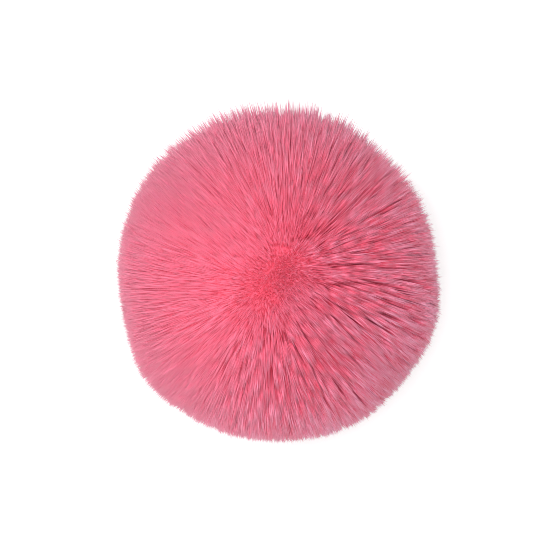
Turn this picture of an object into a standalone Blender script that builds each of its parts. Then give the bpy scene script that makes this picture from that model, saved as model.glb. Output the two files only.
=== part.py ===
"""A lone pom pom of long-pile imitation fur, lying on its gathered back with its crown up.

Metres, +Z up. The origin is on the surface the pom pom lies on, under the middle of its outline.

It is one solid. Its backing is the ball of dense pile, with a small flat foot where the gathered
back meets the surface. On the backing stand the locks, the pointed bunches that long pile falls
into. Each is fused to the backing at its root and free of the others above it. Underneath, the
locks are shorter and end level on the surface.
"""

import math
import random

import bmesh
import bpy
from mathutils import Quaternion, Vector

MM = 0.001

# Driving dimensions, in millimetres. The hub is the middle of the ball.
HALF_WIDTH = 60.2  # hub to the tips at the sides, along X
HALF_LENGTH = 61.7  # hub to the tips at the ends, along Y
CROWN = 58.0  # hub to the tips on top
UNDERSIDE = 55.0  # hub to the tips underneath, where the surface doesn't stop them
HUB_HEIGHT = 50.0  # hub above the surface
FREE_LENGTH = 16.5  # how far a lock stands out of the backing on top and at the sides
FREE_LENGTH_BELOW = 9.0  # the same underneath
FOOT_RADIUS = 13.0  # flat spot on the gathered back

# The locks' roots are the faces of an uneven ball, whose corners lie along a sunflower's spiral.
ROOT_CORNERS = 260
FOOT_SIDES = 12
FOOT_SPREAD = math.radians(17.0)  # half the angle that the foot's root spans, seen from the hub
ROOT_SCATTER = 0.2  # of the distance between two corners
WIDEST_PAIR = math.radians(70.0)  # how far from square a four-sided root may be
GOLDEN_ANGLE = math.pi * (3.0 - math.sqrt(5.0))
UNEVEN_LENGTH = 1.3  # most that a lock is longer or shorter than its neighbours, in mm
TIP_STRAY = 0.6  # how far a lock leans, as a share of the room that it has between its neighbours
LEAST_CLEARANCE = 1.0  # a lock whose tip would be lower than this ends level on the surface, in mm
LOCK_TURN = math.radians(16.0)  # most that a lock twists from root to tip
FALL = 3.0  # how far the tips hang down at the sides, in mm
SEED = 7

# Sections of one lock, from its root: share of its free length, and its width as a share of the
# room between its neighbours, when it ends in a point and when it ends level on the surface.
LOCK_SECTIONS = (
    # (along, pointed, level)
    (0.00, 0.86, 0.86),
    (0.40, 0.85, 0.85),
    (0.76, 0.58, 0.76),
    (1.00, 0.11, 0.64),
)

# The rough outline: where the pile stands out or falls short of an even ball. Azimuth is
# counted from +X towards +Y and elevation from the horizontal, both in degrees.
LOBES = (
    # (azimuth, elevation, spread, rise in mm)
    (220.0, 4.0, 15.0, 2.6),
    (298.0, -4.0, 22.0, 1.9),
    (88.0, 6.0, 26.0, 1.2),
    (130.0, -8.0, 14.0, 0.8),
    (340.0, 8.0, 12.0, 1.1),
    (191.0, 0.0, 14.0, -1.5),
    (8.0, 0.0, 17.0, -1.4),
    (265.0, 6.0, 14.0, -0.8),
    (45.0, -6.0, 16.0, -0.7),
    (30.0, 48.0, 24.0, 1.0),
    (150.0, 58.0, 22.0, -1.1),
    (250.0, 44.0, 24.0, 0.9),
    (330.0, -38.0, 24.0, 1.0),
    (110.0, -40.0, 26.0, -1.0),
)

PINK = (0.785, 0.122, 0.191, 1.0)
ROUGHNESS = 0.9


def clear_scene():
    for thing in list(bpy.data.objects):
        bpy.data.objects.remove(thing, do_unlink=True)


def direction_of(azimuth, elevation):
    """The unit vector that points that way from the hub, from angles in degrees."""
    turn = math.radians(azimuth)
    rise = math.radians(elevation)
    return Vector((math.cos(turn) * math.cos(rise), math.sin(turn) * math.cos(rise), math.sin(rise)))


def smooth_share(value, low, high):
    """0 below low, 1 above high, and a smooth step between them."""
    share = min(max((value - low) / (high - low), 0.0), 1.0)
    return share * share * (3.0 - 2.0 * share)


def ball_reach(way):
    """Hub to the tips along a unit vector, in mm, as if nothing lay under the pom pom."""
    height = CROWN if way.z > 0.0 else UNDERSIDE
    squares = (way.x / HALF_WIDTH) ** 2 + (way.y / HALF_LENGTH) ** 2 + (way.z / height) ** 2
    reach = 1.0 / math.sqrt(squares)
    for azimuth, elevation, spread, rise in LOBES:
        off = math.degrees(way.angle(direction_of(azimuth, elevation)))
        reach += rise * math.exp(-((off / spread) ** 2))
    return reach


def surface_reach(way):
    """Hub to the surface along a unit vector, in mm, or no limit where it points up."""
    return HUB_HEIGHT / -way.z if way.z < 0.0 else math.inf


def free_length(way):
    """How far a lock stands out of the backing along a unit vector, in mm."""
    below = smooth_share(-way.z, 0.3, 0.95)
    return FREE_LENGTH + (FREE_LENGTH_BELOW - FREE_LENGTH) * below


def backing_point(way):
    """The backing's surface along a unit vector, in mm from the hub."""
    reach = min(ball_reach(way), surface_reach(way))
    return way * (reach - free_length(way))


def lay_out_roots(mesh, chance):
    """Makes an uneven ball of unit size, with a level face of FOOT_SIDES sides at its lowest."""
    foot_height = -math.cos(FOOT_SPREAD)
    for side in range(FOOT_SIDES):
        turn = 2.0 * math.pi * side / FOOT_SIDES
        across = math.sin(FOOT_SPREAD)
        mesh.verts.new((math.cos(turn) * across, math.sin(turn) * across, foot_height))
    spacing = math.sqrt(4.0 * math.pi / ROOT_CORNERS)
    lowest = -math.cos(FOOT_SPREAD + 0.8 * spacing)
    for corner in range(ROOT_CORNERS):
        height = 1.0 - (1.0 - lowest) * (corner + 0.5) / ROOT_CORNERS
        across = math.sqrt(1.0 - height**2)
        turn = GOLDEN_ANGLE * corner
        even = Vector((across * math.cos(turn), across * math.sin(turn), height))
        scatter = Vector([chance.uniform(-1.0, 1.0) for _ in range(3)])
        mesh.verts.new((even + scatter * ROOT_SCATTER * spacing).normalized())
    bmesh.ops.convex_hull(mesh, input=mesh.verts[:])


def join_pairs(mesh):
    """Joins the ball's triangles into four-sided faces where they pair up. Returns the foot."""
    foot_height = -math.cos(FOOT_SPREAD)
    low = [face for face in mesh.faces if face.calc_center_median().z < foot_height + 1e-4]
    foot = bmesh.ops.dissolve_faces(mesh, faces=low)["region"][0]
    bmesh.ops.join_triangles(
        mesh,
        faces=[face for face in mesh.faces if face is not foot],
        angle_face_threshold=math.pi,
        angle_shape_threshold=WIDEST_PAIR,
    )
    return next(face for face in mesh.faces if len(face.verts) == FOOT_SIDES)


def size_backing(mesh, hub):
    for vert in mesh.verts:
        vert.co = hub + backing_point(vert.co) * MM


def drop_foot(mesh, face):
    """Lowers the foot's face onto the surface on a short round neck."""
    neck = bmesh.ops.extrude_discrete_faces(mesh, faces=[face])["faces"][0]
    for vert in neck.verts:
        turn = math.atan2(vert.co.y, vert.co.x)
        vert.co = Vector((math.cos(turn), math.sin(turn), 0.0)) * FOOT_RADIUS * MM


def room_around(face, middle):
    """The distance from the middle of a face to its nearest edge."""
    distances = []
    for edge in face.edges:
        start, end = (vert.co for vert in edge.verts)
        along = (end - start).normalized()
        out = middle - start
        distances.append((out - along * out.dot(along)).length)
    return min(distances)


def onto_surface(point, hub):
    """Where the line from the hub through a point meets the surface."""
    met = hub + (point - hub) * (hub.z / (hub.z - point.z))
    return Vector((met.x, met.y, 0.0))


def raise_lock(mesh, face, hub, chance):
    """Draws one lock out of a face of the backing, section by section."""
    middle = face.calc_center_median()
    way = (middle - hub).normalized()
    root_distance = (middle - hub).length
    corners = [vert.co - middle for vert in face.verts]
    room = room_around(face, middle)
    stray = Vector([chance.uniform(-1.0, 1.0) for _ in range(3)]) * TIP_STRAY * room
    stray -= way * stray.dot(way)
    twist = chance.uniform(-LOCK_TURN, LOCK_TURN)
    tip_distance = (ball_reach(way) + chance.uniform(-UNEVEN_LENGTH, UNEVEN_LENGTH)) * MM
    fall = Vector((0.0, 0.0, -FALL * MM)) * (1.0 - way.z**2)
    is_level = (hub + way * tip_distance + stray + fall).z < LEAST_CLEARANCE * MM
    if is_level:
        tip_distance = surface_reach(way) * MM
        fall.zero()
    for along, pointed, level in LOCK_SECTIONS:
        drawn = bmesh.ops.extrude_discrete_faces(mesh, faces=[face])["faces"][0]
        share = level if is_level else pointed
        distance = root_distance + (tip_distance - root_distance) * along
        growth = distance / root_distance
        centre = hub + way * distance + stray * (1.0 - share) * growth + fall * along**2
        turn = Quaternion(way, twist * along**2)
        for vert, corner in zip(drawn.verts, corners):
            vert.co = centre + turn @ corner * share * growth
            if is_level and along == 1.0:
                vert.co = onto_surface(vert.co, hub)
        face = drawn


def centre_outline(mesh):
    """Moves the solid so that the middle of its outline, seen from above, is over the origin."""
    for axis in (0, 1):
        places = [vert.co[axis] for vert in mesh.verts]
        middle = (min(places) + max(places)) / 2.0
        for vert in mesh.verts:
            vert.co[axis] -= middle


def make_pom_pom():
    chance = random.Random(SEED)
    hub = Vector((0.0, 0.0, HUB_HEIGHT * MM))
    mesh = bmesh.new()
    lay_out_roots(mesh, chance)
    foot = join_pairs(mesh)
    size_backing(mesh, hub)
    lock_faces = [face for face in mesh.faces if face is not foot]
    drop_foot(mesh, foot)
    for face in lock_faces:
        raise_lock(mesh, face, hub, chance)
    centre_outline(mesh)
    data = bpy.data.meshes.new("pom_pom")
    mesh.to_mesh(data)
    mesh.free()
    pom_pom = bpy.data.objects.new("pom_pom", data)
    bpy.context.collection.objects.link(pom_pom)
    return pom_pom, len(lock_faces)


def make_pile_material():
    pile = bpy.data.materials.new("pink_pile")
    pile.use_nodes = True
    shader = pile.node_tree.nodes["Principled BSDF"]
    shader.inputs["Base Color"].default_value = PINK
    shader.inputs["Roughness"].default_value = ROUGHNESS
    shader.inputs["Metallic"].default_value = 0.0
    return pile


clear_scene()
pom_pom, lock_count = make_pom_pom()
pom_pom.data.materials.append(make_pile_material())
print(f"pom_pom: {lock_count} locks, {len(pom_pom.data.polygons)} faces")
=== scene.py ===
# %% [markdown]
# # A pink pom pom of long-pile imitation fur
#
# The real thing is a round of imitation fur, cut from the cloth, gathered along its edge and drawn
# shut over a little filling, so that the pile stands out all round. What you see is only pile: silky
# hairs that leave the gathered skin in every direction and fall into small pointed locks.
#
# Hair in Blender is often a particle system or a hair curve object. Neither leaves a mesh behind, and
# this model has to be exported as meshes, so each hair here is a thin three-sided spike. Geometry
# Nodes make them all from one pattern spike. A few smooth rules, worked out on the skin that they
# grow from, say how long the pile is, how it lies and where it is dark or pale.

# %% The tools and the packed solid
import math

import bmesh
import bpy
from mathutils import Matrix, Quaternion, Vector


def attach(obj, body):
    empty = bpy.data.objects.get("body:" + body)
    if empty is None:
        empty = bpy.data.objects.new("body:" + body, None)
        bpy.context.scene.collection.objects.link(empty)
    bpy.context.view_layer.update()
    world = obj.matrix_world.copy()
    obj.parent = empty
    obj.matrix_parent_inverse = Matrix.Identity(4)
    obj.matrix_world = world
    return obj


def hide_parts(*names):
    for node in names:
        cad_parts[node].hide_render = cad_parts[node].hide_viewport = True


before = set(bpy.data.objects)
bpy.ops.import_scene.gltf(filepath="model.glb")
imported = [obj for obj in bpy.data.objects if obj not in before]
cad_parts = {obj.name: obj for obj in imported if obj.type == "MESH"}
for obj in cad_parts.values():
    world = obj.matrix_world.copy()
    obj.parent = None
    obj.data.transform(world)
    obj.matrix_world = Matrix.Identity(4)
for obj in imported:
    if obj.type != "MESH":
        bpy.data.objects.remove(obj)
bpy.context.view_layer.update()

# %% [markdown]
# ## The ball
#
# Every length below is a real size, in millimetres. The hub is the middle of the ball, and the pile
# reaches furthest from it along Y. A ball that is gathered by hand is never even, so a short table
# adds low lobes and hollows to it. Each is a soft bump with a direction, a width and a height.
#
# The outline could also be drawn as a curve, but the ball is seen from every side. A rule that works
# for any direction from the hub gives all its outlines at once.

# %% The ball's sizes
MM = 0.001
HUB = Vector((0.0, 0.0, 50.0)) * MM
HALF_WIDTH = 59.7
HALF_LENGTH = 61.3
CROWN = 58.0
UNDERSIDE = 55.0

LOBES = (
    # (azimuth, elevation, spread in degrees, rise in mm)
    (220.0, 4.0, 15.0, 2.9),
    (250.0, 6.0, 18.0, 1.2),
    (298.0, -4.0, 22.0, 1.9),
    (92.0, 6.0, 28.0, -2.8),
    (130.0, 0.0, 18.0, -1.2),
    (163.0, 0.0, 14.0, -0.8),
    (340.0, 8.0, 15.0, 2.0),
    (188.0, 0.0, 14.0, -1.0),
    (12.0, 0.0, 17.0, -1.8),
    (48.0, -6.0, 20.0, -4.0),
    (30.0, 48.0, 24.0, 1.0),
    (150.0, 58.0, 22.0, -1.1),
    (250.0, 44.0, 24.0, 0.9),
    (330.0, -38.0, 24.0, 1.0),
    (110.0, -40.0, 26.0, -1.0),
)


def direction_of(azimuth, elevation):
    """The unit vector that points that way from the hub, from angles in degrees."""
    turn = math.radians(azimuth)
    rise = math.radians(elevation)
    return Vector((math.cos(turn) * math.cos(rise), math.sin(turn) * math.cos(rise), math.sin(rise)))


def falloff(angle, spread):
    """1 at no angle, falling softly to 0 beyond the spread."""
    return math.exp(-((angle / spread) ** 2))


def bump(way, middle, spread):
    """1 in the middle of a soft round patch, falling to 0 around it."""
    return falloff(math.degrees(way.angle(middle)), spread)


LOBE_ROWS = [
    (direction_of(azimuth, elevation), spread, rise) for azimuth, elevation, spread, rise in LOBES
]


def reach(way):
    """From the hub to the ends of the pile along a unit vector, in mm."""
    top = CROWN if way.z > 0.0 else UNDERSIDE
    squares = (way.x / HALF_WIDTH) ** 2 + (way.y / HALF_LENGTH) ** 2 + (way.z / top) ** 2
    length = 1.0 / math.sqrt(squares)
    for middle, spread, rise in LOBE_ROWS:
        length += rise * bump(way, middle, spread)
    return length


print("Reach to the right", round(reach(Vector((1.0, 0.0, 0.0))), 1), "mm")

# %% [markdown]
# ## The parting
#
# On the real ball, the hairs don't all stand straight out. They part along a short line beside the
# middle of the crown. There they point at you, and from there they lean away on all sides, like
# grass around a spot where a cat has slept.
#
# One parting point would draw a neat star, which no real pile has. A short line keeps the middle
# untidy.

# %% The parting
PARTING = (Vector((-4.4, -6.0, 0.0)) * MM, Vector((3.6, 3.0, 0.0)) * MM)


def cut_off(value):
    """The value, or 0 where it is less than 0 and 1 where it is more than 1."""
    return min(max(value, 0.0), 1.0)


def nearest_parting(way):
    """The direction of the parting's nearest point, seen from the hub."""
    start, end = (point + Vector((0.0, 0.0, CROWN * MM)) for point in PARTING)
    place = way * CROWN * MM
    along = end - start
    share = (place - start).dot(along) / along.length_squared
    return (start + along * cut_off(share)).normalized()


def degrees_from_parting(way):
    """How far round the ball a direction lies from the parting."""
    return math.degrees(way.angle(nearest_parting(way)))


print("The parting is", round((PARTING[1] - PARTING[0]).length / MM, 1), "mm long")

# %% [markdown]
# ## How far the hairs lean
#
# The table says how far round the ball a hair's end lies from its root. The lean grows quickly
# beside the parting, is strongest on the shoulder and dies away down the sides. Under the ball, the
# surface that it lies on presses the hairs outwards, and they end level on it.
#
# Combing each hair by hand would also work, and is how a groomer does it. A table of ten rows is
# easier to read, and to change. The steps between its rows are smooth, so that no kink shows.

# %% How far the hairs lean
LEAN = (
    # (degrees from the parting, degrees that the hair's end lies further out than its root)
    (0.0, 0.0),
    (7.0, 5.2),
    (18.0, 12.5),
    (38.0, 19.0),
    (60.0, 18.0),
    (90.0, 11.0),
    (120.0, 4.0),
    (140.0, 0.0),
    (162.0, -7.0),
    (180.0, 0.0),
)
SURFACE_CLEARANCE = 0.5
NO_TURN = 1.0e-6


def smooth_step(share):
    """0 below 0, 1 above 1, and a smooth step between them."""
    share = cut_off(share)
    return share * share * (3.0 - 2.0 * share)


def read_off(table, angle):
    """The value at so many degrees, read off a table along smooth steps."""
    for (start, before), (end, after) in zip(table, table[1:]):
        if angle <= end:
            return before + (after - before) * smooth_step((angle - start) / (end - start))
    return table[-1][1]


def tilted(way, origin, degrees):
    """A unit vector turned further away from another one, or left alone where both are the same."""
    axis = origin.cross(way)
    if axis.length < NO_TURN:
        return way.copy()
    return Quaternion(axis, math.radians(degrees)) @ way


def end_point(way):
    """Where the line from the hub along a unit vector meets the ends of the pile or the surface."""
    point = HUB + way * (reach(way) * MM)
    lowest = SURFACE_CLEARANCE * MM
    if point.z < lowest:
        point = HUB + (point - HUB) * ((HUB.z - lowest) / (HUB.z - point.z))
    return point


def hair_end(way):
    """Where a hair ends whose root lies that way from the hub."""
    return end_point(tilted(way, nearest_parting(way), read_off(LEAN, degrees_from_parting(way))))


print("The hairs lean by up to", max(degrees for _, degrees in LEAN), "degrees")

# %% [markdown]
# ## The smooth side and the open side
#
# The pile isn't combed alike all round. On one side it lies smooth, hair beside hair, and on the
# other it has fallen open into separate locks with dark partings between them. It is most open at
# one place on the crown's shoulder.
#
# It could be painted on the ball as a weight map, but then it would have to be kept in a file. Here
# one number from 0 to about 1.5 says how open the pile is at each place. The hairs' grip on each
# other and the contrast between their colours both follow from it, so that they always change
# together. That contrast is painted shade: on the open side, away from the lamps, darker and lighter
# hairs stand in for the shade that light across the locks casts.

# %% How open the pile is
OPEN_AZIMUTH = -14.0
OPEN_STEEPNESS = 2.5
OPEN_PATCH = direction_of(312.0, 42.0)
OPEN_PATCH_SPREAD = 36.0
OPEN_PATCH_SHARE = 0.5

CLING_AT_PARTING = 0.8
CLING_AT_SIDES = 1.3
CLING_ANGLE = 60.0
CLING_WHERE_SMOOTH = 0.1
CLING_WHERE_OPEN = 1.15
# Painted shade: how widely the hairs' colours spread, little where the pile faces the lamps and much
# on the open side.
PAINTED_SHADE_WHERE_SMOOTH = 0.05
PAINTED_SHADE_WHERE_OPEN = 1.65


def between(first, second, share):
    """A value so far on the way from one to another."""
    return first + (second - first) * share


def open_at(way):
    """0 where the pile lies smooth, 1 and more where it falls open into separate locks."""
    toward = way.dot(direction_of(OPEN_AZIMUTH, 0.0)) * OPEN_STEEPNESS
    patch = OPEN_PATCH_SHARE * bump(way, OPEN_PATCH, OPEN_PATCH_SPREAD)
    return cut_off(0.5 + 0.5 * toward) + patch


def cling_at(way):
    """How strongly the hairs are drawn together into locks."""
    from_parting = cut_off(degrees_from_parting(way) / CLING_ANGLE)
    cling = between(CLING_AT_PARTING, CLING_AT_SIDES, from_parting)
    return cling * between(CLING_WHERE_SMOOTH, CLING_WHERE_OPEN, open_at(way))


def painted_shade_contrast_at(way):
    """Painted shade: how much one hair's colour differs from the next one's."""
    return between(PAINTED_SHADE_WHERE_SMOOTH, PAINTED_SHADE_WHERE_OPEN, open_at(way))


print("Openness to the left and right:", [round(open_at(Vector((x, 0.0, 0.0))), 2) for x in (-1, 1)])

# %% [markdown]
# ## Untidiness, cover and wisps
#
# Some more rules. At the parting the hairs point every way, so their ends stray more there. The
# crown is seen end on, where you would look down between thin hairs, so they stand closer there, and
# further apart underneath, where nobody looks. And a few hairs are longer than the rest: they are
# the wisps that make the outline soft. On one side they are long and the ends uneven, and on the
# other the pile looks freshly clipped.
#
# A texture could hold each of these too. As small functions they can be tried out one by one, in any
# direction, with a single print.

# %% Untidiness, cover and wisps
MESS = 5.0
MESS_SPREAD = 10.0

CROWN_COVER = 2.0
CROWN_COVER_POWER = 16
PARTING_COVER = 1.0
PARTING_COVER_SPREAD = 9.0
UNDERSIDE_THINNING = 0.65
THINNING_STARTS = 0.1
THINNING_WIDTH = 0.8

WISP_AZIMUTH = 85.0
WISP_NARROWNESS = 3
WISPS_ON_CROWN = 0.8
SHORTEST_WISPS = 0.2
LONGEST_WISPS = 3.2
LEAST_UNEVEN = 0.65
MOST_UNEVEN = 1.2


def mess_at(way):
    """How untidy the hairs' ends are, next to the sides of the ball."""
    return 1.0 + MESS * falloff(degrees_from_parting(way), MESS_SPREAD)


def cover_at(way):
    """How densely the hairs stand, next to the sides of the ball."""
    above = CROWN_COVER * cut_off(way.z) ** CROWN_COVER_POWER
    beside = PARTING_COVER * falloff(degrees_from_parting(way), PARTING_COVER_SPREAD)
    below = cut_off((-way.z - THINNING_STARTS) / THINNING_WIDTH)
    return 1.0 + above + beside - UNDERSIDE_THINNING * below


def at_the_sides(way, on_crown, least, most):
    """A value on the crown that goes over to most on the side of the wisps and least opposite."""
    turn = math.atan2(way.y, way.x) - math.radians(WISP_AZIMUTH)
    beside = between(least, most, (0.5 + 0.5 * math.cos(turn)) ** WISP_NARROWNESS)
    level = 1.0 - way.z**2
    return between(on_crown, beside, level**2)


def wisp_at(way):
    """How long the wisps are, next to the tree's own measure."""
    return at_the_sides(way, WISPS_ON_CROWN, SHORTEST_WISPS, LONGEST_WISPS)


def uneven_at(way):
    """How unevenly the hairs end, next to the crown."""
    return at_the_sides(way, 1.0, LEAST_UNEVEN, MOST_UNEVEN)


print("Hairs stand", round(cover_at(Vector((0.0, 0.0, 1.0))), 1), "times as close on the crown")

# %% [markdown]
# ## Painted light: deep and pale zones
#
# The real ball is a warm coral pink in the middle, where you look down into the pile and light has
# bounced from hair to hair many times. Its shoulder is a cooler, paler pink, where you see the hairs
# from their sides. Here the coral middle is painted bounce light, the pale shoulder is a painted
# sheen, and its dimmer red is painted shade, strongest on the side away from the lamps.
#
# A material could fake that with the angle that you look from, but then the colour would slide over
# the ball as the camera moves, and an exported model would lose it. Here that light and shade are
# painted into the pile's colour by place.

# %% Painted light: deep and pale zones
# Painted light: painted bounce light at the parting gives way to painted sheen and shade further out.
PAINTED_PALENESS = (
    # (degrees from the parting, how far the colour has gone from the deepest to the palest)
    (0.0, 0.0),
    (20.0, 0.22),
    (45.0, 0.60),
    (75.0, 1.0),
    (180.0, 1.0),
)
# Painted shade: the pale end's dimmer red is strongest on this side, away from the lamps.
PAINTED_SHADE_TOWARDS = direction_of(40.0, 0.0)
PAINTED_SHADE_DIFFERENCE = 0.15


def painted_light_at(way):
    """Painted light: 0 for the deep pink of bounce light, 1 for the palest sheen and shade, on one
    shoulder.
    """
    side = 1.0 - PAINTED_SHADE_DIFFERENCE * (1.0 - way.dot(PAINTED_SHADE_TOWARDS))
    return read_off(PAINTED_PALENESS, degrees_from_parting(way)) * side


palest_from = next(angle for angle, paleness in PAINTED_PALENESS if paleness == 1.0)
print("The pile is palest from", palest_from, "degrees beside the parting")

# %% [markdown]
# ## The skin that the hairs grow from
#
# The real skin is the knitted cloth that the hairs are rooted in. Here it lies 12 mm below their
# ends. It never shows, so it is only a ball mesh that the hairs start on, and isn't in the finished
# model.
#
# Its points carry all the rules above as attributes. Geometry Nodes can then read them wherever a
# hair starts, already blended between the points, and need no formula of their own. The skin also
# says which of six regions each face belongs to, because all the pile is too much for one mesh.

# %% Depth and regions of the skin
SKIN_DEPTH = 12.0
SKIN_DEPTH_BELOW = 8.5
SHALLOWER_FROM = 0.3
SHALLOWER_WIDTH = 0.65

CROWN_EDGE = 0.75
UNDERSIDE_EDGE = -0.6
REGIONS = ("crown", "right", "back", "left", "front", "underside")


def skin_depth(way):
    """From the ends of the pile down to the skin, in mm."""
    below = smooth_step((-way.z - SHALLOWER_FROM) / SHALLOWER_WIDTH)
    return between(SKIN_DEPTH, SKIN_DEPTH_BELOW, below)


def region_of(way):
    """The number of the region that a direction belongs to, counted along REGIONS."""
    if way.z > CROWN_EDGE:
        return REGIONS.index("crown")
    if way.z < UNDERSIDE_EDGE:
        return REGIONS.index("underside")
    quarter = round(math.degrees(math.atan2(way.y, way.x)) / 90.0) % 4
    return REGIONS.index("right") + quarter


print("Underneath, the skin lies", skin_depth(Vector((0.0, 0.0, -1.0))), "mm deep")

# %% The skin itself
SKIN_STEPS = 6
POINT_RULES = {
    "mess": mess_at,
    "cover": cover_at,
    "cling": cling_at,
    "wisp": wisp_at,
    "uneven": uneven_at,
    # Painted light: bounce light, sheen and shade by zone.
    "pale": painted_light_at,
    # Painted shade: how widely the hairs' colours spread.
    "contrast": painted_shade_contrast_at,
}
FIELDS = ("end", *POINT_RULES, "region")


def make_skin():
    """The ball that the hairs start on, with the end of each hair and the rules as attributes."""
    mesh = bpy.data.meshes.new("skin")
    ball = bmesh.new()
    bmesh.ops.create_icosphere(ball, subdivisions=SKIN_STEPS, radius=1.0)
    ball.to_mesh(mesh)
    ball.free()
    ways = [vert.co.normalized() for vert in mesh.vertices]
    ends = mesh.attributes.new("end", "FLOAT_VECTOR", "POINT")
    ends.data.foreach_set("vector", [part for way in ways for part in hair_end(way)])
    for name, rule in POINT_RULES.items():
        field = mesh.attributes.new(name, "FLOAT", "POINT")
        field.data.foreach_set("value", [rule(way) for way in ways])
    for vert, way in zip(mesh.vertices, ways):
        vert.co = HUB + way * ((end_point(way) - HUB).length - skin_depth(way) * MM)
    regions = mesh.attributes.new("region", "INT", "FACE")
    for face in mesh.polygons:
        regions.data[face.index].value = region_of((face.center - HUB).normalized())
    return mesh


skin = make_skin()
print("The skin has", len(skin.vertices), "points, which carry", ", ".join(FIELDS))

# %% [markdown]
# ## Writing node trees
#
# A node tree written out link by link is hard to read. This small helper adds a node, sets it up and
# feeds its sockets in one line, so that the trees below read like a recipe. It serves geometry
# trees, materials and the studio's light alike.

# %% A helper for node trees


def socket_of(sockets, name):
    """The socket of that name that is in use. Some nodes keep one for each kind of value."""
    return next(socket for socket in sockets if socket.name == name and socket.enabled)


class Recipe:
    """Adds nodes to a tree, one step a line. Most steps give back an output for the next one."""

    def __init__(self, tree):
        self.tree = tree

    def add(self, kind, settings, **feeds):
        """A new node, with its settings made and its sockets fed by name."""
        node = self.tree.nodes.new(kind)
        for name, value in settings.items():
            setattr(node, name, value)
        for name, value in feeds.items():
            self.feed(socket_of(node.inputs, name.replace("_", " ")), value)
        return node

    def feed(self, socket, value):
        """Links a socket to another node's output, or gives it a fixed value."""
        if isinstance(value, bpy.types.NodeSocket):
            self.tree.links.new(value, socket)
        else:
            socket.default_value = value

    def math(self, operation, first, second=0.0):
        node = self.tree.nodes.new("ShaderNodeMath")
        node.operation = operation
        self.feed(node.inputs[0], first)
        self.feed(node.inputs[1], second)
        return node.outputs[0]

    def total(self, first, *others):
        for other in others:
            first = self.math("ADD", first, other)
        return first

    def product(self, first, *others):
        for other in others:
            first = self.math("MULTIPLY", first, other)
        return first

    def clamp(self, value, low, high):
        return self.math("MINIMUM", self.math("MAXIMUM", value, low), high)

    def vector(self, operation, first, second=None, scale=None):
        node = self.tree.nodes.new("ShaderNodeVectorMath")
        node.operation = operation
        self.feed(node.inputs[0], first)
        if second is not None:
            self.feed(node.inputs[1], second)
        if scale is not None:
            self.feed(node.inputs["Scale"], scale)
        return node.outputs["Value" if operation in ("LENGTH", "DOT_PRODUCT") else "Vector"]

    def scaled(self, vector, scale):
        return self.vector("SCALE", vector, scale=scale)

    def blend(self, share, first, second):
        """A vector that lies so far on the way from the first to the second."""
        node = self.add("ShaderNodeMix", {"data_type": "VECTOR"}, Factor=share, A=first, B=second)
        return socket_of(node.outputs, "Result")

    def spread(self, value):
        """One value as all three parts of a vector."""
        return self.add("ShaderNodeCombineXYZ", {}, X=value, Y=value, Z=value).outputs["Vector"]

    def random(self, low, high, key, seed, kind="FLOAT"):
        """A random value that stays the same for the same key and seed."""
        node = self.add(
            "FunctionNodeRandomValue", {"data_type": kind}, Min=low, Max=high, ID=key, Seed=seed
        )
        return socket_of(node.outputs, "Value")

    def either_way(self, key, seed):
        """A random vector, with each part from -1 to 1."""
        return self.random((-1.0, -1.0, -1.0), (1.0, 1.0, 1.0), key, seed, "FLOAT_VECTOR")

    def read(self, name, kind="FLOAT"):
        node = self.add("GeometryNodeInputNamedAttribute", {"data_type": kind}, Name=name)
        return socket_of(node.outputs, "Attribute")

    def store(self, geometry, name, value, kind="FLOAT", domain="POINT"):
        """The geometry, with a value kept on it as a named attribute."""
        node = self.add(
            "GeometryNodeStoreNamedAttribute",
            {"data_type": kind, "domain": domain},
            Geometry=geometry,
            Name=name,
            Value=value,
        )
        return node.outputs["Geometry"]


print("A recipe can", ", ".join(name for name in vars(Recipe) if not name.startswith("_")))

# %% [markdown]
# ## What the pile's tree is told
#
# The tree's inputs are the things that a furrier would ask about: how many hairs, how thick, how
# wide the bunches are that they fall into, how hard they cling, how much they flow and wave. Most
# are real lengths, so that they can be measured on a real lock. Written into the nodes instead, they
# would be hard to find again, and each region would need a tree of its own.
#
# Whatever is random is drawn with a number of its own, or with the seed of its region. That keeps
# the draws apart from each other, and the same on every run.

# %% What the pile's tree is told
PILE_INPUTS = (
    ("Skin", "NodeSocketGeometry"),
    ("Hub", "NodeSocketVector"),
    ("Region", "NodeSocketInt"),
    ("Hairs", "NodeSocketFloat"),
    ("Tuft Width", "NodeSocketFloat"),
    ("Tuft Gather", "NodeSocketFloat"),
    ("Lock Width", "NodeSocketFloat"),
    ("Lock Gather", "NodeSocketFloat"),
    ("Lock Lean", "NodeSocketFloat"),
    ("Flow", "NodeSocketFloat"),
    ("Flow Width", "NodeSocketFloat"),
    ("Wave", "NodeSocketFloat"),
    ("Wave Width", "NodeSocketFloat"),
    ("Stray", "NodeSocketFloat"),
    ("Uneven", "NodeSocketFloat"),
    ("Wisp", "NodeSocketFloat"),
    ("Thickness", "NodeSocketFloat"),
    ("Seed", "NodeSocketInt"),
    ("Finish", "NodeSocketMaterial"),
)
DRAWS = {
    "lock's lean": 1,
    "lock's length": 2,
    "pull of the lock": 3,
    "pull of the tuft": 4,
    "tuft's tone": 6,
    "lock's tone": 7,
    "hair's tone": 8,
    "hair's thickness": 9,
    "wisp": 10,
    "middles of the locks": 11,
    "middles of the tufts": 12,
}
print("The pile's tree has", len(PILE_INPUTS), "inputs and", len(DRAWS), "random draws of its own")

# %% [markdown]
# ## Hairs and bunches
#
# Hairs of this kind cling together in small locks, and the locks in tufts. The tree spreads the
# middles of the bunches evenly over the whole skin, scatters the hairs at random over one region of
# it, and lets each hair find its nearest bunch.
#
# Planting hairs bunch by bunch would leave bald rings between the bunches. This way the roots stay
# spread out, and only the ends come together, as they do in real pile.

# %% Hairs and bunches
MOST_BUNCHES = 2.0e6


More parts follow.
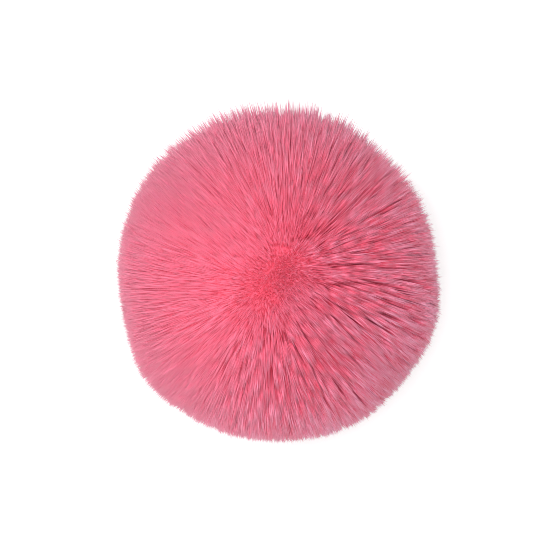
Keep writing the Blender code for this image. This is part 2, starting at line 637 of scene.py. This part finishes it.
def scatter_hairs(recipe, given):
    """The roots of one region's hairs."""
    here = recipe.add(
        "FunctionNodeCompare",
        {"data_type": "INT", "operation": "EQUAL"},
        A=recipe.read("region", "INT"),
        B=given["Region"],
    )
    hairs = recipe.add(
        "GeometryNodeDistributePointsOnFaces",
        {"distribute_method": "RANDOM"},
        Mesh=given["Skin"],
        Selection=here.outputs["Result"],
        Density=recipe.product(given["Hairs"], recipe.read("cover")),
        Seed=given["Seed"],
    )
    return hairs.outputs["Points"]


def nearest_bunch(recipe, given, width, draw, root, end):
    """The number and the end of the bunch that a hair belongs to, the same for every region."""
    bunches = recipe.add(
        "GeometryNodeDistributePointsOnFaces",
        {"distribute_method": "POISSON"},
        Mesh=given["Skin"],
        Distance_Min=width,
        Density_Max=MOST_BUNCHES,
        Seed=DRAWS[draw],
    ).outputs["Points"]
    nearest = recipe.add("GeometryNodeSampleNearest", {}, Geometry=bunches, Sample_Position=root)
    number = nearest.outputs["Index"]
    sample = recipe.add(
        "GeometryNodeSampleIndex",
        {"data_type": "FLOAT_VECTOR"},
        Geometry=bunches,
        Value=end,
        Index=number,
    )
    return number, socket_of(sample.outputs, "Value")


print("The tree may try up to", round(MOST_BUNCHES / 1.0e6), "middles on each square millimetre")

# %% [markdown]
# ## Where a hair ends
#
# A hair's end starts from the place that its skin gives it, and is moved from there. It is pulled
# towards the ends of its lock and its tuft. It drifts sideways: with its lock, on its own, most of
# all at the parting, and with a slow flow that bends whole areas of pile. Then it gets its own
# length, and a few hairs in a hundred become wisps.
#
# The flow comes from a noise texture, because that changes smoothly from place to place. Random
# values alone would make a hedgehog.

# %% Where a hair ends
NOISE_DETAIL = 1.5
NOISE_MIDDLE = (0.5, 0.5, 0.5)
LOCK_PULLS = (0.4, 1.2)
TUFT_PULLS = (0.5, 1.2)
LOCK_LENGTHS = (-0.8, 0.7)
HAIR_LENGTHS = (-1.2, 0.7)
WISP_RARITY = 5.0


def smooth_push(recipe, place, most, width):
    """A push that changes smoothly from place to place, over about that width."""
    noise = recipe.add(
        "ShaderNodeTexNoise",
        {"noise_dimensions": "3D"},
        Vector=recipe.vector("DIVIDE", place, recipe.spread(width)),
        Scale=1.0,
        Detail=NOISE_DETAIL,
    )
    # The noise is from 0 to 1 each way, so twice its distance from the middle is from -1 to 1.
    push = recipe.vector("SUBTRACT", noise.outputs["Color"], NOISE_MIDDLE)
    return recipe.scaled(push, recipe.product(most, 2.0))


def drawn_together(recipe, end, bunch_end, gather, pulls, own, draw):
    """A hair's end, drawn towards the end of its bunch."""
    pull = recipe.product(gather, recipe.random(*pulls, own, DRAWS[draw]), recipe.read("cling"))
    return recipe.blend(pull, end, bunch_end)


def sideways_drift(recipe, given, root, out, own, lock):
    """How far a hair's end strays across the pile."""
    with_lock = recipe.either_way(lock, DRAWS["lock's lean"])
    with_lock = recipe.scaled(with_lock, recipe.product(given["Lock Lean"], recipe.read("cling")))
    alone = recipe.scaled(recipe.either_way(own, given["Seed"]), given["Stray"])
    alone = recipe.scaled(alone, recipe.read("mess"))
    flow = smooth_push(recipe, root, given["Flow"], given["Flow Width"])
    drift = recipe.vector("ADD", recipe.vector("ADD", alone, with_lock), flow)
    outward = recipe.scaled(out, recipe.vector("DOT_PRODUCT", drift, out))
    return recipe.vector("SUBTRACT", drift, outward)


def extra_length(recipe, given, own, lock):
    """How much longer or shorter a hair is than the ball says."""
    lock_length = recipe.random(*LOCK_LENGTHS, lock, DRAWS["lock's length"])
    hair_length = recipe.random(*HAIR_LENGTHS, own, given["Seed"])
    uneven = recipe.product(given["Uneven"], recipe.read("uneven"))
    length = recipe.product(recipe.total(lock_length, hair_length), uneven)
    wisp = recipe.math("POWER", recipe.random(0.0, 1.0, own, DRAWS["wisp"]), WISP_RARITY)
    return recipe.total(length, recipe.product(wisp, recipe.read("wisp"), given["Wisp"]))


print("Half of the hairs have less than", round(0.5**WISP_RARITY, 2), "of a wisp's extra length")

# %% [markdown]
# ## How a hair bends
#
# A hair leaves the skin straight and bends over on its way, so its curve has one control point
# between its root and its end. A second one would let it bend like an S, but so small a bend would
# never show. A finer noise pushes the point aside. It is read at the lock's end, so that all the
# hairs of one lock wave together, which is what crimped fibres look like.

# %% How a hair bends
BEND_PLACE = 0.5
BEND_FOLLOWS = 0.4


def bend_point(recipe, given, root, end, met, lock_end):
    """The control point between a hair's root and the place where its end was moved to."""
    stand = recipe.vector("NORMALIZE", recipe.vector("SUBTRACT", root, given["Hub"]))
    span = recipe.vector("LENGTH", recipe.vector("SUBTRACT", end, root))
    bend = recipe.vector("ADD", root, recipe.scaled(stand, recipe.product(span, BEND_PLACE)))
    moved = recipe.vector("SUBTRACT", met, end)
    bend = recipe.vector("ADD", bend, recipe.scaled(moved, BEND_FOLLOWS))
    wave = recipe.product(given["Wave"], recipe.read("cling"))
    return recipe.vector("ADD", bend, smooth_push(recipe, lock_end, wave, given["Wave Width"]))


print("The bend follows the end by a share of", BEND_FOLLOWS)

# %% [markdown]
# ## Planning the hairs
#
# Each hair is planned while it is still a single point, because a point is cheap: its root, bend and
# end, its shade and its thickness are stored on it. When the pattern spike is put on the point
# later, all its corners inherit the plan.
#
# The shade is partly the tuft's, partly the lock's and partly the hair's own. Locks of slightly
# different shade are what makes real pile look deep, even in flat light. Where the pile is open, the
# spread is widened into painted shade.

# %% Planning the hairs
TUFT_TONE = 0.05
LOCK_TONE = 0.13
HAIR_TONE = 0.15
THICKNESSES = (0.75, 1.15)


def hair_tone_and_painted_shade(recipe, own, lock, tuft):
    """How dark or light a hair is: random tone, widened into painted shade where the pile is open."""
    tone = recipe.total(
        recipe.random(-TUFT_TONE, TUFT_TONE, tuft, DRAWS["tuft's tone"]),
        recipe.random(-LOCK_TONE, LOCK_TONE, lock, DRAWS["lock's tone"]),
        recipe.random(-HAIR_TONE, HAIR_TONE, own, DRAWS["hair's tone"]),
    )
    # Painted shade: the contrast attribute widens the spread on the open side, away from the lamps.
    return recipe.product(tone, recipe.read("contrast"))


def plan_hairs(recipe, given, hairs):
    """Works out each hair's control points, tone and thickness, and stores them on its point."""
    root = recipe.add("GeometryNodeInputPosition", {}).outputs["Position"]
    own = recipe.add("GeometryNodeInputIndex", {}).outputs["Index"]
    end = recipe.read("end", "FLOAT_VECTOR")
    out = recipe.vector("NORMALIZE", recipe.vector("SUBTRACT", end, given["Hub"]))
    widths = given["Tuft Width"], given["Lock Width"]
    tuft, tuft_end = nearest_bunch(recipe, given, widths[0], "middles of the tufts", root, end)
    lock, lock_end = nearest_bunch(recipe, given, widths[1], "middles of the locks", root, end)
    gathers = given["Tuft Gather"], given["Lock Gather"]
    met = drawn_together(recipe, end, lock_end, gathers[1], LOCK_PULLS, own, "pull of the lock")
    met = drawn_together(recipe, met, tuft_end, gathers[0], TUFT_PULLS, own, "pull of the tuft")
    met = recipe.vector("ADD", met, sideways_drift(recipe, given, root, out, own, lock))
    met = recipe.vector("ADD", met, recipe.scaled(out, extra_length(recipe, given, own, lock)))
    bend = bend_point(recipe, given, root, end, met, lock_end)
    thick = recipe.random(*THICKNESSES, own, DRAWS["hair's thickness"])
    points = recipe.store(hairs, "root", root, "FLOAT_VECTOR")
    points = recipe.store(points, "bend", bend, "FLOAT_VECTOR")
    points = recipe.store(points, "met", met, "FLOAT_VECTOR")
    points = recipe.store(points, "tone", hair_tone_and_painted_shade(recipe, own, lock, tuft))
    return recipe.store(points, "thick", thick)


print("Shades differ by up to", round(TUFT_TONE + LOCK_TONE + HAIR_TONE, 2), "either way")

# %% [markdown]
# ## One hair
#
# A real hair is round and a twentieth of a millimetre thick, and a ball like this has perhaps a
# million of them. Each spike here stands for a bundle of about ten: three-sided, half a millimetre
# thick, with one ring of corners between its root and its point. Seen from the length of an arm,
# such a bundle looks like a hair.
#
# The spike starts as a cone a metre long. Its corners remember how far along it they are and on
# which side. Set Position then lays each of them beside the curve through its own hair's root, bend
# and end, so that no hair needs a curve object.

# %% The pattern spike
HAIR_SIDES = 3
HAIR_SEGMENTS = 2
RING_POWER = 0.4


def pattern_spike(recipe):
    """One hair a metre long, standing on the origin, with its corners' own place as attributes."""
    spike = recipe.add(
        "GeometryNodeMeshCone",
        {"fill_type": "NGON"},
        Vertices=HAIR_SIDES,
        Side_Segments=HAIR_SEGMENTS,
        Radius_Top=0.0,
        Radius_Bottom=1.0,
        Depth=1.0,
    ).outputs["Mesh"]
    place = recipe.add("GeometryNodeInputPosition", {}).outputs["Position"]
    parts = recipe.add("ShaderNodeSeparateXYZ", {}, Vector=place)
    side = recipe.add("ShaderNodeCombineXYZ", {}, X=parts.outputs["X"], Y=parts.outputs["Y"], Z=0.0)
    side = recipe.vector("NORMALIZE", side.outputs["Vector"])
    index = recipe.add("GeometryNodeInputIndex", {}).outputs["Index"]
    around = recipe.math("MODULO", index, float(HAIR_SIDES))
    spike = recipe.store(spike, "along", recipe.math("POWER", parts.outputs["Z"], RING_POWER))
    spike = recipe.store(spike, "side", side, "FLOAT_VECTOR")
    return recipe.store(spike, "around", around)


print("A hair's ring of corners is", round(0.5**RING_POWER, 2), "of the way along it")

# %% A spike on its curve
TAPER_POWER = 3.0
# Any direction will do that no hair lies along. A hair's width is laid square to it.
SLANTWISE = (0.31, 0.17, 0.93)
# A metre to the sides is no limit, but no corner comes lower than 0.2 mm above the surface.
LOWEST_CORNER = (-1.0, -1.0, 0.2 * MM)


def point_on_curve(recipe, along):
    """The place on a hair's own curve, from its root to its end by way of its bend."""
    left = recipe.math("SUBTRACT", 1.0, along)
    root = recipe.scaled(recipe.read("root", "FLOAT_VECTOR"), recipe.product(left, left))
    bend = recipe.scaled(recipe.read("bend", "FLOAT_VECTOR"), recipe.product(left, along, 2.0))
    met = recipe.scaled(recipe.read("met", "FLOAT_VECTOR"), recipe.product(along, along))
    return recipe.vector("ADD", recipe.vector("ADD", root, bend), met)


def place_beside_curve(recipe, given):
    """The place of a spike's corner, beside its hair's curve by the hair's girth there."""
    along = recipe.read("along")
    root = recipe.read("root", "FLOAT_VECTOR")
    met = recipe.read("met", "FLOAT_VECTOR")
    axis = recipe.vector("NORMALIZE", recipe.vector("SUBTRACT", met, root))
    across = recipe.vector("NORMALIZE", recipe.vector("CROSS_PRODUCT", axis, SLANTWISE))
    upward = recipe.vector("CROSS_PRODUCT", axis, across)
    side = recipe.add("ShaderNodeSeparateXYZ", {}, Vector=recipe.read("side", "FLOAT_VECTOR"))
    taper = recipe.math("SUBTRACT", 1.0, recipe.math("POWER", along, TAPER_POWER))
    girth = recipe.product(taper, given["Thickness"], 0.5, recipe.read("thick"))
    width = recipe.scaled(across, recipe.product(side.outputs["X"], girth))
    height = recipe.scaled(upward, recipe.product(side.outputs["Y"], girth))
    place = recipe.vector("ADD", point_on_curve(recipe, along), recipe.vector("ADD", width, height))
    return recipe.vector("MAXIMUM", place, LOWEST_CORNER)


print("At its ring, a hair keeps", round(1.0 - 0.5 ** (RING_POWER * TAPER_POWER), 2), "of its girth")

# %% [markdown]
# ## The map of shades
#
# The hairs need a UV map, so that their colour can be baked. An ordinary map would give each of so
# many hairs its own scrap of picture, a few dots each. This one is a chart of shades instead: across
# it runs from dark to light, and up it from the deep zone to the pale one. Each hair lies where its
# shade is, on top of others of the same shade, and all of them share one small picture.
#
# A hair's root is painted darker than its point, as shade, because less light gets there, so each
# hair also runs a little way across the map.

# %% The map of shades
MIDDLE_SHADE = 0.5
# Painted shade: how much darker a hair's root is painted than its point.
PAINTED_SHADE_ALONG = 0.45
EVEN_PLACE = 0.7
DARKEST = 0.002
LIGHTEST = 0.985
SIDE_WIDTH = 0.006
PAINTED_LIGHT_SHARE = 0.9
POINT_SHARE = 0.08


def chart_of_shades(recipe):
    """A corner's place on the map: dark to light across, deep to pale up."""
    along = recipe.read("along")
    shade = recipe.product(recipe.math("SUBTRACT", along, EVEN_PLACE), PAINTED_SHADE_ALONG)
    shade = recipe.total(shade, recipe.read("tone"), MIDDLE_SHADE)
    shade = recipe.clamp(shade, DARKEST, LIGHTEST)
    across = recipe.total(shade, recipe.product(recipe.read("around"), SIDE_WIDTH))
    # Painted light: the map's height carries the painted bounce light, sheen and shade of the zones.
    zone = recipe.product(recipe.read("pale"), PAINTED_LIGHT_SHARE)
    up = recipe.total(zone, recipe.product(along, POINT_SHARE))
    return recipe.add("ShaderNodeCombineXYZ", {}, X=across, Y=up, Z=0.0).outputs["Vector"]


print("A hair spans", PAINTED_SHADE_ALONG, "of the map from its root to its point")

# %% [markdown]
# ## The pile's node tree
#
# Now the steps go together: scatter, plan, put a spike on each point, make the copies real, lay
# every corner beside its curve, map it and give it its finish.

# %% The pile's node tree


def new_tree(name, inputs):
    """A geometry node tree with named inputs, from rows of (name, socket type)."""
    tree = bpy.data.node_groups.new(name, "GeometryNodeTree")
    for label, kind in inputs:
        tree.interface.new_socket(label, in_out="INPUT", socket_type=kind)
    tree.interface.new_socket("Geometry", in_out="OUTPUT", socket_type="NodeSocketGeometry")
    return tree


def build_pile_tree():
    """The whole tree, from the skin to the finished hairs of one region."""
    tree = new_tree("Pile", PILE_INPUTS)
    recipe = Recipe(tree)
    given = tree.nodes.new("NodeGroupInput").outputs
    hairs = plan_hairs(recipe, given, scatter_hairs(recipe, given))
    spikes = recipe.add(
        "GeometryNodeInstanceOnPoints", {}, Points=hairs, Instance=pattern_spike(recipe)
    )
    real = recipe.add("GeometryNodeRealizeInstances", {}, Geometry=spikes.outputs["Instances"])
    shaped = recipe.add(
        "GeometryNodeSetPosition",
        {},
        Geometry=real.outputs["Geometry"],
        Position=place_beside_curve(recipe, given),
    ).outputs["Geometry"]
    mapped = recipe.store(shaped, "OFBake", chart_of_shades(recipe), "FLOAT2", "CORNER")
    finished = recipe.add("GeometryNodeSetMaterial", {}, Geometry=mapped, Material=given["Finish"])
    result = tree.nodes.new("NodeGroupOutput")
    tree.links.new(finished.outputs["Geometry"], result.inputs["Geometry"])
    return tree


pile_tree = build_pile_tree()
print("The pile's tree has", len(pile_tree.nodes), "nodes")

# %% [markdown]
# ## The finish of the hair
#
# Acrylic hair is dyed through and silky: soft highlights, and a faint sheen where light grazes it.
# Its colour is read off two ramps, one for each way across the map of shades, and multiplied. The
# first is the dye's pink with painted light: painted bounce light makes the middle a warm deep pink,
# and a painted sheen with painted shade makes the shoulder a cool pale one. The second darkens a hair
# or lightens it, with random tone and with painted shade at the roots and on the open side, and
# changes green and blue more than red, because red light goes on bouncing in pink pile long after the
# rest is swallowed.
#
# A hair shader would need hair curves to work on, and only a plain surface shader can be baked.

# %% The finish of the hair
# Painted light: the dye's pink, deepened by painted bounce light and paled by painted sheen and
# shade.
PINK_WITH_PAINTED_LIGHT = (
    (0.00, (0.985, 0.180, 0.290)),
    (0.50, (0.925, 0.220, 0.345)),
    (0.75, (0.830, 0.214, 0.332)),
    (0.90, (0.710, 0.210, 0.316)),
    (0.94, (0.660, 0.208, 0.308)),
    (0.98, (0.500, 0.206, 0.275)),
)
# Random tone and painted shade: the dark end stands for hair in shade.
TONE_AND_PAINTED_SHADE = (
    (0.00, (0.82, 0.28, 0.36)),
    (0.50, (0.98, 0.90, 0.92)),
    (1.00, (1.01, 1.74, 1.60)),
)


def ramp(recipe, share, stops):
    """A colour read off a row of (place, colour)."""
    node = recipe.tree.nodes.new("ShaderNodeValToRGB")
    band = node.color_ramp
    while len(band.elements) < len(stops):
        band.elements.new(0.5)
    for element, (place, colour) in zip(band.elements, stops):
        element.position = place
        element.color = (*colour, 1.0)
    recipe.feed(node.inputs["Fac"], share)
    return node.outputs["Color"]


def new_finish(name, **settings):
    """A material with a plain surface shader, and a recipe to add to it."""
    finish = bpy.data.materials.new(name)
    finish.use_nodes = True
    shader = finish.node_tree.nodes["Principled BSDF"]
    for label, value in settings.items():
        shader.inputs[label.replace("_", " ")].default_value = value
    return finish, Recipe(finish.node_tree), shader


def make_hair_finish():
    """Silky dyed hair, with its colour read off the map of shades."""
    finish, recipe, shader = new_finish(
        "pink_hair", Roughness=0.55, Specular_IOR_Level=0.25, Sheen_Weight=0.05, Sheen_Roughness=0.5
    )
    chart = recipe.add("ShaderNodeUVMap", {"uv_map": "OFBake"})
    parts = recipe.add("ShaderNodeSeparateXYZ", {}, Vector=chart.outputs["UV"])
    # Painted light by zone, and random tone with painted shade across.
    zone = ramp(recipe, parts.outputs["Y"], PINK_WITH_PAINTED_LIGHT)
    shade = ramp(recipe, parts.outputs["X"], TONE_AND_PAINTED_SHADE)
    recipe.feed(shader.inputs["Base Color"], recipe.vector("MULTIPLY", zone, shade))
    return finish


hair_finish = make_hair_finish()
print("The hair's finish has", len(hair_finish.node_tree.nodes), "nodes")

# %% [markdown]
# ## The heart of the pile
#
# Between the hairs you look down into more hair, not through the ball. A body inside the pile stands
# for that dense, shaded depth. Where the pile lies smooth, it comes up high between the hairs. Where
# the pile falls open it lies deeper, so that the gaps between the locks are dark. More hairs would
# do the same, at ten times the cost.
#
# Its fine grain with a little relief looks like hairs seen end on. The real pile is soft and full of
# air.

# %% The heart's finish
GRAINS_PER_METRE = 2200.0
GRAIN_DETAIL = 2.0
# Painted shade: the low grain between the hairs is darker than their ends.
GRAIN_WITH_PAINTED_SHADE = (
    (0.35, (0.80, 0.100, 0.180)),
    (0.65, (0.96, 0.190, 0.300)),
)
GRAIN_HEIGHT = 0.3
GRAIN_STRENGTH = 0.8


def make_heart_finish():
    """Hair seen end on: a fine grain, with painted shade between the hairs, which are lighter."""
    finish, recipe, shader = new_finish("deep_pile", Roughness=0.9)
    place = recipe.add("ShaderNodeTexCoord", {}).outputs["Object"]
    grain = recipe.add(
        "ShaderNodeTexNoise",
        {"noise_dimensions": "3D"},
        Vector=place,
        Scale=GRAINS_PER_METRE,
        Detail=GRAIN_DETAIL,
    ).outputs["Fac"]
    recipe.feed(shader.inputs["Base Color"], ramp(recipe, grain, GRAIN_WITH_PAINTED_SHADE))
    relief = recipe.add(
        "ShaderNodeBump", {}, Strength=GRAIN_STRENGTH, Distance=GRAIN_HEIGHT * MM, Height=grain
    )
    recipe.feed(shader.inputs["Normal"], relief.outputs["Normal"])
    return finish


heart_finish = make_heart_finish()
print("One grain is about", round(1000.0 / GRAINS_PER_METRE, 2), "mm across")

# %% The heart itself
RISE_AT_PARTING = 8.2
RISE_IN_SMOOTH_PILE = 8.4
RISE_IN_OPEN_PILE = 4.6
RISE_SPREAD = 14.0
RISE_BELOW = 0.55
LOWER_FROM = 0.25
LOWER_WIDTH = 0.35
HEART_CLEARANCE = 1.0


def heart_rise(way):
    """How far the heart comes up from the skin towards the ends of the hairs, in mm."""
    rise = between(RISE_IN_SMOOTH_PILE, RISE_IN_OPEN_PILE, open_at(way))
    near = falloff(degrees_from_parting(way), RISE_SPREAD)
    rise = between(rise, RISE_AT_PARTING, near) * (skin_depth(way) / SKIN_DEPTH) ** 2
    below = cut_off((-way.z - LOWER_FROM) / LOWER_WIDTH)
    return rise * between(1.0, RISE_BELOW, below)


def new_object(name, data):
    """An object in the scene that shows a mesh, a lamp or a camera."""
    thing = bpy.data.objects.new(name, data)
    bpy.context.scene.collection.objects.link(thing)
    return thing


def make_heart():
    """The skin, raised into the pile and freed of its attributes."""
    mesh = skin.copy()
    mesh.name = "pile_heart"
    for name in FIELDS:
        mesh.attributes.remove(mesh.attributes[name])
    for vert in mesh.vertices:
        arm = vert.co - HUB
        way = arm.normalized()
        vert.co = HUB + way * (arm.length + heart_rise(way) * MM)
        vert.co.z = max(vert.co.z, HEART_CLEARANCE * MM)
    mesh.shade_smooth()
    mesh.materials.append(heart_finish)
    return new_object("pile_heart", mesh)


heart = make_heart()
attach(heart, "root")
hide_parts("pom_pom")
print("The heart has", len(heart.data.polygons), "triangles")

# %% [markdown]
# ## Growing the pile
#
# The tree runs six times, once for each region, so that no mesh gets too heavy. All six see the same
# bunches, and each hair belongs to the region where its root is, so locks run on across the borders
# and no seam shows.
#
# A modifier's result is only a preview. Turning it into a mesh of its own keeps the hairs and lets
# the modifier go. The plans have done their work by then, and only the map of shades stays.

# %% Growing the pile
HAIR_COUNT = 95000
FIRST_SEED = 100
PILE_SIZES = {
    "Tuft Width": 3.0 * MM,
    "Tuft Gather": 0.45,
    "Lock Width": 1.4 * MM,
    "Lock Gather": 0.6,
    "Lock Lean": 0.7 * MM,
    "Flow": 1.8 * MM,
    "Flow Width": 7.0 * MM,
    "Wave": 1.6 * MM,
    "Wave Width": 3.0 * MM,
    "Stray": 0.6 * MM,
    "Uneven": 1.0 * MM,
    "Wisp": 2.4 * MM,
    "Thickness": 0.5 * MM,
}
PLANNED = ("root", "bend", "met", "tone", "thick", "along", "side", "around", *FIELDS)


def covered_area():
    """The skin's area, counted by how densely its hairs stand."""
    return sum(face.area * cover_at((face.center - HUB).normalized()) for face in skin.polygons)


def run_tree(piece, settings):
    """The mesh that the pile's tree makes from a piece with those settings."""
    modifier = piece.modifiers.new("Pile", "NODES")
    modifier.node_group = pile_tree
    for socket in pile_tree.interface.items_tree:
        if socket.in_out == "INPUT" and socket.name in settings:
            modifier[socket.identifier] = settings[socket.name]
    graph = bpy.context.evaluated_depsgraph_get()
    mesh = bpy.data.meshes.new_from_object(piece.evaluated_get(graph))
    piece.modifiers.clear()
    return mesh


def grow(region, density):
    """One piece of the pile: all the hairs of one region. Returns its count of triangles."""
    name = "pile_" + REGIONS[region]
    piece = new_object(name, skin.copy())
    own = {"Hub": HUB, "Region": region, "Hairs": density, "Seed": FIRST_SEED + region}
    mesh = run_tree(piece, {**PILE_SIZES, **own, "Finish": hair_finish})
    for attribute in PLANNED:
        if attribute in mesh.attributes:
            mesh.attributes.remove(mesh.attributes[attribute])
    mesh.shade_smooth()
    mesh.name = name
    piece.data = mesh
    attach(piece, "root")
    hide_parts("pom_pom")
    triangles = sum(len(face.vertices) - 2 for face in mesh.polygons)
    print(name, "has", triangles, "triangles")
    return triangles


density = HAIR_COUNT / covered_area()
total = sum(grow(region, density) for region in range(len(REGIONS)))
print("In all", total, "triangles of hair")

# %% [markdown]
# ## The floor
#
# The ball lies on a plain white floor, large enough that its edge never shows. A backdrop that curves
# up behind the ball would do as well, but from above both look the same. Its paint is matt, without
# any highlight, so that it stays white around the ball and takes only a faint shadow.

# %% The floor
FLOOR_HALF = 4.0
WHITE = (0.96, 0.96, 0.96, 1.0)


def make_floor():
    """A square of white paint, which belongs to the studio and not to the pom pom."""
    half = FLOOR_HALF
    corners = [(-half, -half, 0.0), (half, -half, 0.0), (half, half, 0.0), (-half, half, 0.0)]
    mesh = bpy.data.meshes.new("floor")
    mesh.from_pydata(corners, [], [(0, 1, 2, 3)])
    paint = new_finish("pale_floor", Base_Color=WHITE, Roughness=0.9, Specular_IOR_Level=0.0)[0]
    mesh.materials.append(paint)
    floor = new_object("floor", mesh)


make_floor()
print("The floor is", 2.0 * FLOOR_HALF, "m wide")

# %% [markdown]
# ## The light
#
# A product photographer would put a thing like this in a white tent. The studio here is an even
# white world, a little brighter on the left, with one soft lamp from the back left and one from
# overhead. The brighter left and the first lamp light the ball from that side, and the overhead lamp
# reaches down between the hairs at the parting.
#
# Light bounces many times in pale pile, and every bounce makes it pinker, so it may bounce more
# often here than it usually may. The last two settings keep single hairs crisp.

# %% The light
WORLD_STRENGTH = 1.25
WORLD_SLANT = 0.24
WORLD_WAY = direction_of(172.0, 0.0)
BOUNCES = 12

LIGHTS = (
    # (name, azimuth, elevation in degrees, distance, size in metres, power in watts)
    ("key", 150.0, 34.0, 1.5, 0.4, 5.2),
    ("top", 200.0, 89.5, 1.5, 0.3, 5.4),
)


def make_light(name, azimuth, elevation, distance, size, power):
    """A square softbox that looks at the ball's middle."""
    lamp = bpy.data.lights.new(name, "AREA")
    lamp.shape = "SQUARE"
    lamp.size = size
    lamp.energy = power
    light = new_object(name, lamp)
    light.location = HUB + direction_of(azimuth, elevation) * distance
    light.rotation_mode = "QUATERNION"
    light.rotation_quaternion = (HUB - light.location).to_track_quat("-Z", "Y")
    return light


def make_world():
    """A white studio that is a little brighter on one side."""
    world = bpy.data.worlds.new("studio")
    world.use_nodes = True
    recipe = Recipe(world.node_tree)
    background = world.node_tree.nodes["Background"]
    background.inputs["Color"].default_value = (1.0, 1.0, 1.0, 1.0)
    way = recipe.add("ShaderNodeTexCoord", {}).outputs["Generated"]
    toward = recipe.vector("DOT_PRODUCT", way, WORLD_WAY)
    share = recipe.total(recipe.product(toward, WORLD_SLANT), 1.0)
    recipe.feed(background.inputs["Strength"], recipe.product(share, WORLD_STRENGTH))
    bpy.context.scene.world = world
    return world


lights = [make_light(*row) for row in LIGHTS]
world = make_world()
bpy.context.scene.view_settings.view_transform = "Standard"
bpy.context.scene.cycles.diffuse_bounces = BOUNCES
bpy.context.scene.cycles.denoising_prefilter = "NONE"
bpy.context.scene.cycles.filter_width = 1.0
print("The", world.name, "has", len(lights), "lamps:", ", ".join(light.name for light in lights))

# %% [markdown]
# ## The camera
#
# The photograph looks straight at the crown, so the camera looks straight down. The ball is 325
# pixels wide there and taken to be 120 mm in real life, which gives the size of one pixel. From
# that, and a distance of about a metre, follows the lens.

# %% The camera
PIXEL = 120.0 / 325.0 * MM
FRAME_PIXELS = 551.0
BALL_MIDDLE = (277.5, 273.5)
CAMERA_DISTANCE = 1.1
SENSOR = 36.0


def make_camera():
    """A camera over the crown. BALL_MIDDLE is counted in pixels from the frame's top left."""
    lens = bpy.data.cameras.new("camera")
    lens.sensor_width = SENSOR
    lens.lens = SENSOR * CAMERA_DISTANCE / (FRAME_PIXELS * PIXEL)
    camera = new_object("camera", lens)
    middle = FRAME_PIXELS / 2.0
    camera.location = (
        -(BALL_MIDDLE[0] - middle) * PIXEL,
        (BALL_MIDDLE[1] - middle) * PIXEL,
        HUB.z + CAMERA_DISTANCE,
    )
    bpy.context.scene.camera = camera
    return camera


camera = make_camera()
print("The lens is", round(camera.data.lens), "mm")

# %% [markdown]
# ## The finished size
#
# The hairs may stand a little further out than the solid that they dress.

# %% [markdown]
# ## Finish
